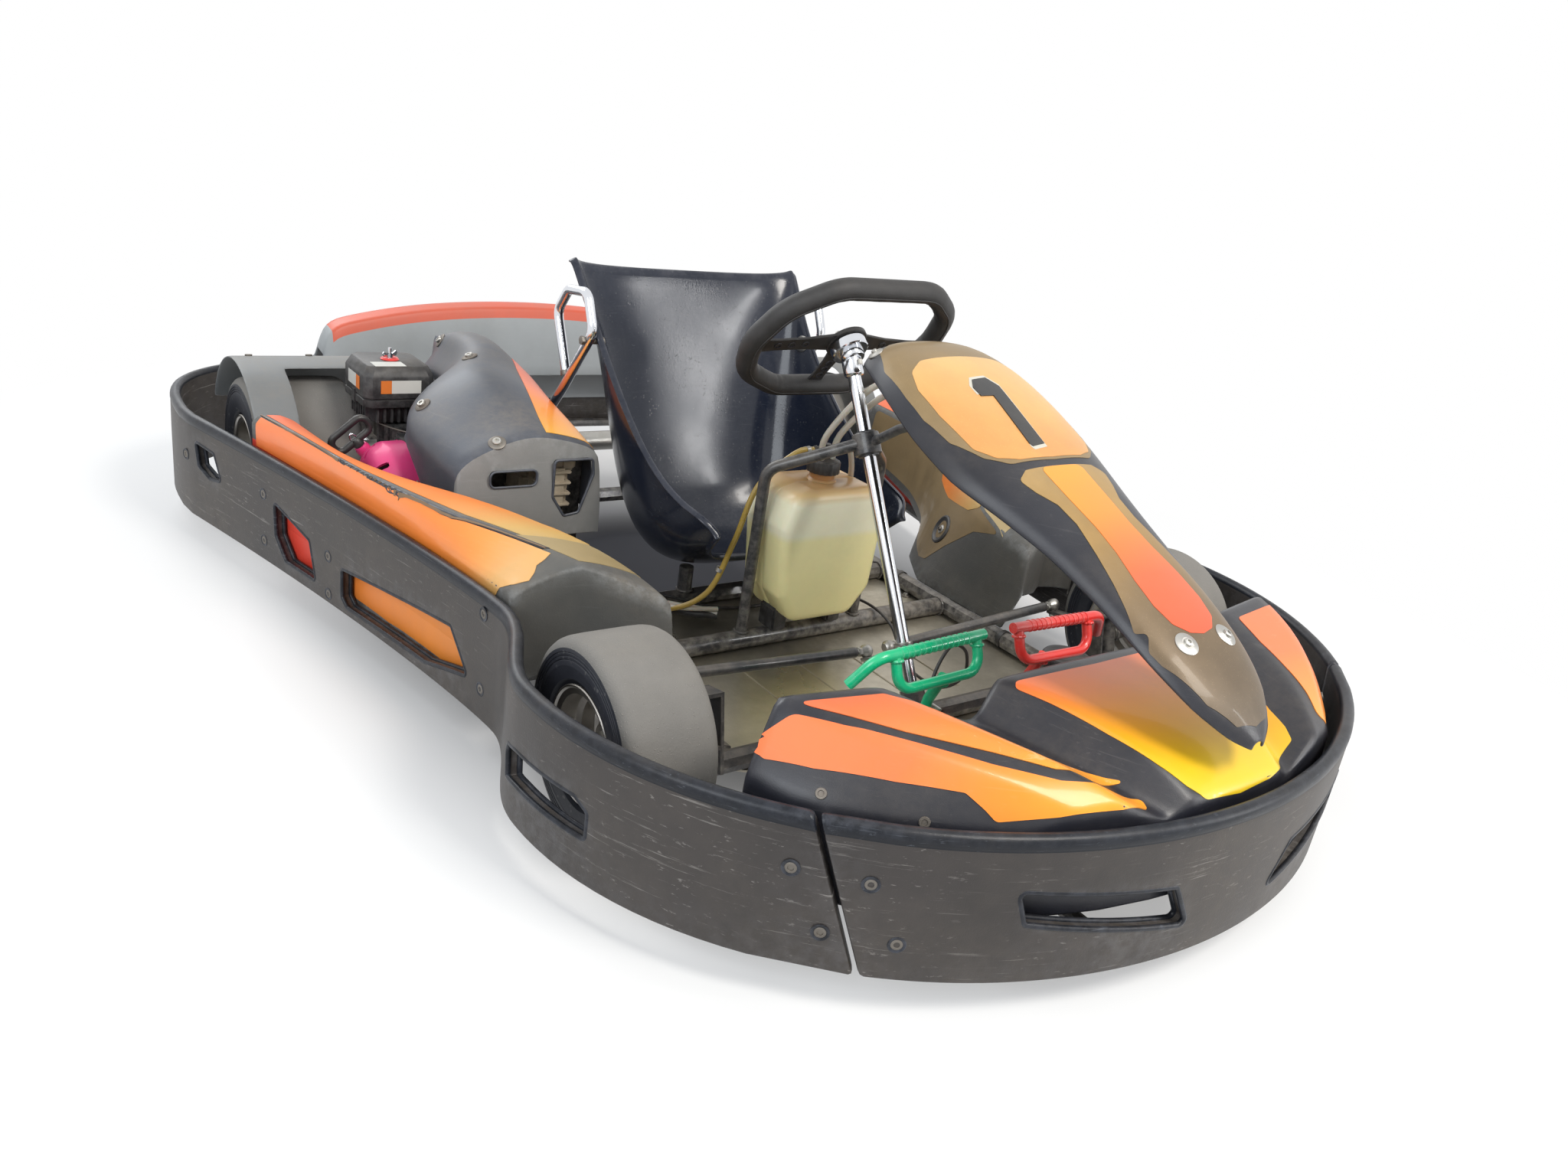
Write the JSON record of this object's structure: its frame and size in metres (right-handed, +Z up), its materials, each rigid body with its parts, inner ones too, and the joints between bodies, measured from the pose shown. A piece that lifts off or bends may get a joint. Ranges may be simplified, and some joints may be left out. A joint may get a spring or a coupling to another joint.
{
  "type": "racing kart",
  "caption": "Rental racing kart: tube frame and floor tray in a wrap-round plastic bumper, bucket seat, side-mounted engine with chain drive, steering and pedals that move.",
  "frame": {"origin": "on the ground under the middle of the kart", "axes": "+Z up, nose to -Y, driver's right to -X"},
  "size_m": [1.507, 2.0127, 0.6337],
  "materials": {
    "black_frame_paint": "satin black paint",
    "bare_steel": "worn, dusty",
    "chrome": "polished",
    "rim_aluminium": "machined, dusty",
    "tray_metal": "scuffed and dusty",
    "tyre_rubber": "slick tread, worn",
    "bumper_plastic": "moulded, scratched",
    "orange_bodywork": "printed film over plastic, orange to yellow",
    "grey_moulding": "fine grain",
    "seat_plastic": "gloss black",
    "wheel_grip": "soft matt grip",
    "tank_plastic": "translucent, yellowed",
    "fuel_hose": "translucent amber hose",
    "green_paint": "gloss green",
    "red_paint": "gloss red",
    "pink_recoil_cover": "satin magenta",
    "engine_black": "satin black",
    "hot_steel": "heat stained",
    "black_plastic": "satin"
  },
  "bodies": {
    "chassis": {"air_filter_box": "black_plastic", "brake_caliper": "engine_black", "column_support": "black_frame_paint", "drive_chain": "bare_steel", "engine_block": "engine_black", "engine_cover": "grey_moulding", "floor_tray": "tray_metal", "front_band": "bumper_plastic", "front_bumper_bar": "black_frame_paint", "front_hoop": "black_frame_paint", "front_yoke": "black_frame_paint", "fuel_cap": "black_plastic", "fuel_hose": "fuel_hose", "fuel_tank": "tank_plastic", "left_band": "bumper_plastic", "left_pod": "orange_bodywork", "left_rail": "black_frame_paint", "left_seat_stay": "chrome", "left_side_bar": "black_frame_paint", "left_wheel_arch": "grey_moulding", "master_cylinder": "engine_black", "muffler": "hot_steel", "nose_fairing": "orange_bodywork", "pedal_bracket": "black_frame_paint", "rear_band": "bumper_plastic", "rear_bumper_bar": "black_frame_paint", "rear_cover": "grey_moulding", "rear_cross_tube": "black_frame_paint", "recoil_housing": "pink_recoil_cover", "right_band": "bumper_plastic", "right_pod": "orange_bodywork", "right_rail": "black_frame_paint", "right_seat_stay": "chrome", "right_side_bar": "black_frame_paint", "right_wheel_arch": "grey_moulding", "seat": "seat_plastic", "seat_cross_tube": "black_frame_paint", "steering_fairing": "orange_bodywork", "throttle_cable": "black_plastic"},
    "steering": {"steering_column": "chrome", "steering_wheel": "wheel_grip"},
    "left_steer": {"left_spindle": "bare_steel"},
    "right_steer": {"right_spindle": "bare_steel"},
    "left_link": {"left_tie_rod": "bare_steel"},
    "right_link": {"right_tie_rod": "bare_steel"},
    "front_left_wheel": {"front_left_rim": "rim_aluminium", "front_left_tyre": "tyre_rubber"},
    "front_right_wheel": {"front_right_rim": "rim_aluminium", "front_right_tyre": "tyre_rubber"},
    "rear_wheels": {"rear_axle": "bare_steel", "rear_left_rim": "rim_aluminium", "rear_left_tyre": "tyre_rubber", "rear_right_rim": "rim_aluminium", "rear_right_tyre": "tyre_rubber", "brake_disc": "bare_steel", "axle_sprocket": "bare_steel"},
    "clutch": {"clutch_drum": "bare_steel"},
    "throttle": {"throttle_pedal": "green_paint"},
    "brake": {"brake_pedal": "red_paint"},
    "starter": {"starter_grip": "black_plastic"}
  },
  "joints": [
    {"name": "steering", "type": "hinge", "parent": "chassis", "child": "steering", "pos_m": [0, -0.4725, 0.08], "axis": [0, 0.515, 0.8572], "range_deg": [-45, 45]},
    {"name": "left_kingpin", "type": "hinge", "parent": "chassis", "child": "left_steer", "pos_m": [0.395, -0.4925, 0.1284], "axis": [0, 0.2079, 0.9781], "range_deg": [-25, 25]},
    {"name": "left_link_ball", "type": "hinge", "parent": "steering", "child": "left_link", "pos_m": [0.022, -0.38296, 0.11253], "axis": [0, 0.515, 0.8572], "range_deg": [-45, 45]},
    {"name": "front_left_hub", "type": "hinge", "parent": "left_steer", "child": "front_left_wheel", "pos_m": [0.493, -0.4925, 0.1284], "axis": [1, 0, 0], "continuous": true},
    {"name": "right_kingpin", "type": "hinge", "parent": "chassis", "child": "right_steer", "pos_m": [-0.395, -0.4925, 0.1284], "axis": [0, 0.2079, 0.9781], "range_deg": [-25, 25]},
    {"name": "right_link_ball", "type": "hinge", "parent": "steering", "child": "right_link", "pos_m": [-0.022, -0.38296, 0.11253], "axis": [0, 0.515, 0.8572], "range_deg": [-45, 45]},
    {"name": "front_right_hub", "type": "hinge", "parent": "right_steer", "child": "front_right_wheel", "pos_m": [-0.493, -0.4925, 0.1284], "axis": [1, 0, 0], "continuous": true},
    {"name": "rear_axle_bearings", "type": "hinge", "parent": "chassis", "child": "rear_wheels", "pos_m": [0, 0.5875, 0.13828], "axis": [1, 0, 0], "continuous": true},
    {"name": "clutch_shaft", "type": "hinge", "parent": "chassis", "child": "clutch", "pos_m": [-0.262, 0.2875, 0.165], "axis": [1, 0, 0], "continuous": true},
    {"name": "throttle_pivot", "type": "hinge", "parent": "chassis", "child": "throttle", "pos_m": [-0.095, -0.5775, 0.073], "axis": [1, 0, 0], "range_deg": [0, 18], "stiffness_Nm_per_rad": 6, "springref_deg": -8.59},
    {"name": "brake_pivot", "type": "hinge", "parent": "chassis", "child": "brake", "pos_m": [0.095, -0.5775, 0.073], "axis": [1, 0, 0], "range_deg": [0, 12], "stiffness_Nm_per_rad": 20, "springref_deg": -5.73},
    {"name": "starter_pull", "type": "slide", "parent": "chassis", "child": "starter", "axis": [-0.6428, 0, 0.766], "range_m": [0, 0.04], "stiffness_N_per_m": 300, "springref_m": -0.03}
  ],
  "couplings": [
    {"joint": "left_kingpin", "follows": "steering", "ratio": 0.55},
    {"joint": "right_kingpin", "follows": "steering", "ratio": 0.55},
    {"joint": "left_link_ball", "follows": "steering", "ratio": -1},
    {"joint": "right_link_ball", "follows": "steering", "ratio": -1},
    {"joint": "clutch_shaft", "follows": "rear_axle_bearings", "ratio": 3.0769}
  ]
}
